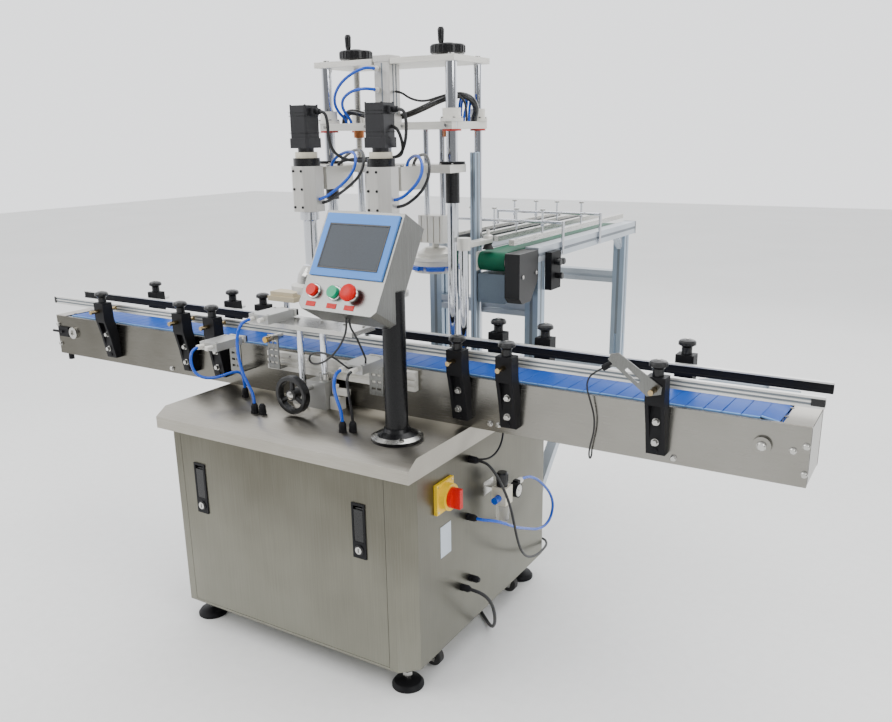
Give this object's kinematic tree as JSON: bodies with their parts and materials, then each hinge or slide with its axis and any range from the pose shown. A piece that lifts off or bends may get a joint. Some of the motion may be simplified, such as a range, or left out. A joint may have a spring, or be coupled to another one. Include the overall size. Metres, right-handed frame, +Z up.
{
  "type": "capping_machine",
  "caption": "Inline bottle capping machine with a chain conveyor, twin spindle gantry, lid feeder and control box on a stainless cabinet.",
  "frame": {"origin": "Centre of the outline seen from above, on the floor.", "axes": "+X runs along the conveyor to the right as seen from the front, +Y runs to the back, +Z is up."},
  "size_m": [2.38, 1.51, 1.575],
  "materials": {
    "stainless": "satin, warm grey",
    "chrome": "polished",
    "aluminium": "anodised, satin",
    "black_plastic": "moulded, matte",
    "black_paint": "powder coat",
    "grey_paint": "satin",
    "blue_chain": "smooth moulding",
    "white_plastic": "smooth",
    "red_plastic": "smooth",
    "green_plastic": "smooth",
    "yellow_plastic": "smooth",
    "black_rubber": "dull",
    "blue_hose": "smooth hose",
    "green_belt": "woven belt cover"
  },
  "bodies": {
    "machine": {"cabinet_shell": "stainless", "cable_glands": "black_plastic", "cable_rear": "black_rubber", "cable_sensor": "black_rubber", "caster_forks": "black_paint", "clamp_cylinders": "aluminium", "clamp_stand": "aluminium", "conveyor_chain": "blue_chain", "conveyor_gearmotor": "grey_paint", "conveyor_panels": "stainless", "feeder_belt": "green_belt", "feeder_drive": "grey_paint", "feeder_frame": "aluminium", "gantry_posts": "chrome", "gantry_top_plate": "aluminium", "hmi_box": "stainless", "hmi_post": "black_paint", "hose_arm": "blue_hose", "hose_regulator": "blue_hose", "levelling_feet": "black_plastic", "main_switch_plate": "yellow_plastic", "mains_coil": "black_rubber", "mains_lead": "black_rubber", "mains_plug": "black_rubber", "rail_brackets": "black_plastic", "regulator_body": "aluminium", "sensor_unit": "stainless", "tabletop": "stainless"},
    "access_panel": {"access_panel": "stainless"},
    "latch_left": {"latch_left": "black_plastic"},
    "latch_right": {"latch_right": "black_plastic"},
    "caster_wheel_front_left": {"caster_wheel_front_left": "black_rubber"},
    "caster_wheel_rear_left": {"caster_wheel_rear_left": "black_rubber"},
    "caster_wheel_front_right": {"caster_wheel_front_right": "black_rubber"},
    "caster_wheel_rear_right": {"caster_wheel_rear_right": "black_rubber"},
    "drive_shaft": {"drive_shaft": "stainless"},
    "idler_shaft": {"idler_shaft": "stainless"},
    "guide_rail_front": {"guide_rail_front": "aluminium"},
    "guide_rail_rear": {"guide_rail_rear": "aluminium"},
    "stop_button": {"stop_button": "red_plastic"},
    "start_button": {"start_button": "green_plastic"},
    "estop_button": {"estop_button": "red_plastic"},
    "main_switch_knob": {"main_switch_knob": "red_plastic"},
    "regulator_knob": {"regulator_knob": "black_plastic"},
    "height_platform": {"height_platform": "aluminium"},
    "lead_screw_left": {"lead_screw_left": "stainless"},
    "lead_screw_right": {"lead_screw_right": "stainless"},
    "head_carrier": {"head_carrier": "aluminium", "capping_heads": "grey_paint"},
    "spindle_left": {"spindle_left": "stainless"},
    "spindle_right": {"spindle_right": "stainless"},
    "lid_disc": {"lid_disc": "white_plastic"},
    "clamp_lift": {"clamp_lift": "aluminium"},
    "clamp_handwheel": {"clamp_handwheel": "black_plastic"},
    "clamp_jaw_centre": {"clamp_jaw_centre": "aluminium"},
    "clamp_jaw_left": {"clamp_jaw_left": "aluminium"},
    "clamp_jaw_right": {"clamp_jaw_right": "aluminium"},
    "placer_arm": {"placer_arm": "aluminium"},
    "feeder_roller_front": {"feeder_roller_front": "stainless"},
    "feeder_roller_rear": {"feeder_roller_rear": "stainless"}
  },
  "joints": [
    {"name": "access_panel_off", "type": "slide", "parent": "machine", "child": "access_panel", "axis": [0, -1, 0], "range_m": [0, 0.3]},
    {"name": "latch_left_swing", "type": "hinge", "parent": "access_panel", "child": "latch_left", "pos_m": [-0.257, -0.74, 0.476], "axis": [-1, 0, 0], "range_deg": [0, 60]},
    {"name": "latch_right_swing", "type": "hinge", "parent": "access_panel", "child": "latch_right", "pos_m": [0.258, -0.74, 0.476], "axis": [-1, 0, 0], "range_deg": [0, 60]},
    {"name": "caster_front_left_spin", "type": "hinge", "parent": "machine", "child": "caster_wheel_front_left", "pos_m": [-0.346, -0.59, 0.033], "axis": [0, 1, 0], "continuous": true},
    {"name": "caster_rear_left_spin", "type": "hinge", "parent": "machine", "child": "caster_wheel_rear_left", "pos_m": [-0.346, -0.17, 0.033], "axis": [0, 1, 0], "continuous": true},
    {"name": "caster_front_right_spin", "type": "hinge", "parent": "machine", "child": "caster_wheel_front_right", "pos_m": [0.358, -0.59, 0.033], "axis": [0, 1, 0], "continuous": true},
    {"name": "caster_rear_right_spin", "type": "hinge", "parent": "machine", "child": "caster_wheel_rear_right", "pos_m": [0.358, -0.17, 0.033], "axis": [0, 1, 0], "continuous": true},
    {"name": "drive_shaft_spin", "type": "hinge", "parent": "machine", "child": "drive_shaft", "pos_m": [1.084, -0.4055, 0.698], "axis": [0, 1, 0], "continuous": true},
    {"name": "idler_shaft_spin", "type": "hinge", "parent": "machine", "child": "idler_shaft", "pos_m": [-1.086, -0.4055, 0.698], "axis": [0, 1, 0], "continuous": true},
    {"name": "guide_rail_front_shift", "type": "slide", "parent": "machine", "child": "guide_rail_front", "axis": [0, 1, 0], "range_m": [-0.025, 0.035]},
    {"name": "guide_rail_rear_shift", "type": "slide", "parent": "machine", "child": "guide_rail_rear", "axis": [0, -1, 0], "range_m": [-0.016, 0.035]},
    {"name": "stop_button_press", "type": "slide", "parent": "machine", "child": "stop_button", "axis": [0.0423, 0.865, -0.5], "range_m": [0, 0.004], "stiffness_N_per_m": 800, "springref_m": -0.003},
    {"name": "start_button_press", "type": "slide", "parent": "machine", "child": "start_button", "axis": [0.0423, 0.865, -0.5], "range_m": [0, 0.004], "stiffness_N_per_m": 800, "springref_m": -0.003},
    {"name": "estop_button_press", "type": "slide", "parent": "machine", "child": "estop_button", "axis": [0.0423, 0.865, -0.5], "range_m": [0, 0.006], "stiffness_N_per_m": 800, "springref_m": -0.003},
    {"name": "main_switch_turn", "type": "hinge", "parent": "machine", "child": "main_switch_knob", "pos_m": [0.421, -0.597, 0.485], "axis": [1, 0, 0], "range_deg": [0, 90]},
    {"name": "regulator_turn", "type": "hinge", "parent": "machine", "child": "regulator_knob", "pos_m": [0.438, -0.371, 0.45], "axis": [0, 0, 1], "range_deg": [-175, 175]},
    {"name": "platform_height", "type": "slide", "parent": "machine", "child": "height_platform", "axis": [0, 0, 1], "range_m": [-0.02, 0.06]},
    {"name": "lead_screw_left_turn", "type": "hinge", "parent": "machine", "child": "lead_screw_left", "pos_m": [-0.148, -0.14, 1.5], "axis": [0, 0, 1], "range_deg": [-1450, 4330]},
    {"name": "lead_screw_right_turn", "type": "hinge", "parent": "machine", "child": "lead_screw_right", "pos_m": [0.152, -0.14, 1.5], "axis": [0, 0, 1], "range_deg": [-1450, 4330]},
    {"name": "heads_lower", "type": "slide", "parent": "height_platform", "child": "head_carrier", "axis": [0, 0, 1], "range_m": [-0.07, 0]},
    {"name": "spindle_left_spin", "type": "hinge", "parent": "head_carrier", "child": "spindle_left", "pos_m": [-0.124, -0.4055, 1], "axis": [0, 0, 1], "continuous": true},
    {"name": "spindle_right_spin", "type": "hinge", "parent": "head_carrier", "child": "spindle_right", "pos_m": [0.114, -0.4055, 1], "axis": [0, 0, 1], "continuous": true},
    {"name": "lid_disc_index", "type": "hinge", "parent": "height_platform", "child": "lid_disc", "pos_m": [0.098, -0.13, 0.97], "axis": [0, 0, 1], "continuous": true},
    {"name": "clamp_height", "type": "slide", "parent": "machine", "child": "clamp_lift", "axis": [0, 0, 1], "range_m": [0, 0.05]},
    {"name": "clamp_handwheel_turn", "type": "hinge", "parent": "machine", "child": "clamp_handwheel", "pos_m": [-0.03, -0.6, 0.679], "axis": [0, 1, 0], "range_deg": [0, 359]},
    {"name": "jaw_centre_close", "type": "slide", "parent": "clamp_lift", "child": "clamp_jaw_centre", "axis": [0, 1, 0], "range_m": [0, 0.025]},
    {"name": "jaw_left_close", "type": "slide", "parent": "machine", "child": "clamp_jaw_left", "axis": [0, 1, 0], "range_m": [0, 0.045]},
    {"name": "jaw_right_close", "type": "slide", "parent": "machine", "child": "clamp_jaw_right", "axis": [0, 1, 0], "range_m": [0, 0.045]},
    {"name": "placer_arm_swing", "type": "hinge", "parent": "machine", "child": "placer_arm", "pos_m": [0.274, -0.275, 1.03], "axis": [0, 0, 1], "range_deg": [-180, 0]},
    {"name": "feeder_roller_front_spin", "type": "hinge", "parent": "machine", "child": "feeder_roller_front", "pos_m": [0.288, -0.129, 0.974], "axis": [1, 0, 0], "continuous": true},
    {"name": "feeder_roller_rear_spin", "type": "hinge", "parent": "machine", "child": "feeder_roller_rear", "pos_m": [0.288, 0.707, 0.974], "axis": [1, 0, 0], "continuous": true}
  ],
  "couplings": [
    {"joint": "idler_shaft_spin", "follows": "drive_shaft_spin", "ratio": 1},
    {"joint": "feeder_roller_rear_spin", "follows": "feeder_roller_front_spin", "ratio": 1},
    {"joint": "lead_screw_left_turn", "follows": "platform_height", "rad_per_m": 1256.6},
    {"joint": "lead_screw_right_turn", "follows": "platform_height", "rad_per_m": 1256.6},
    {"joint": "clamp_handwheel_turn", "follows": "clamp_height", "rad_per_m": 125}
  ]
}
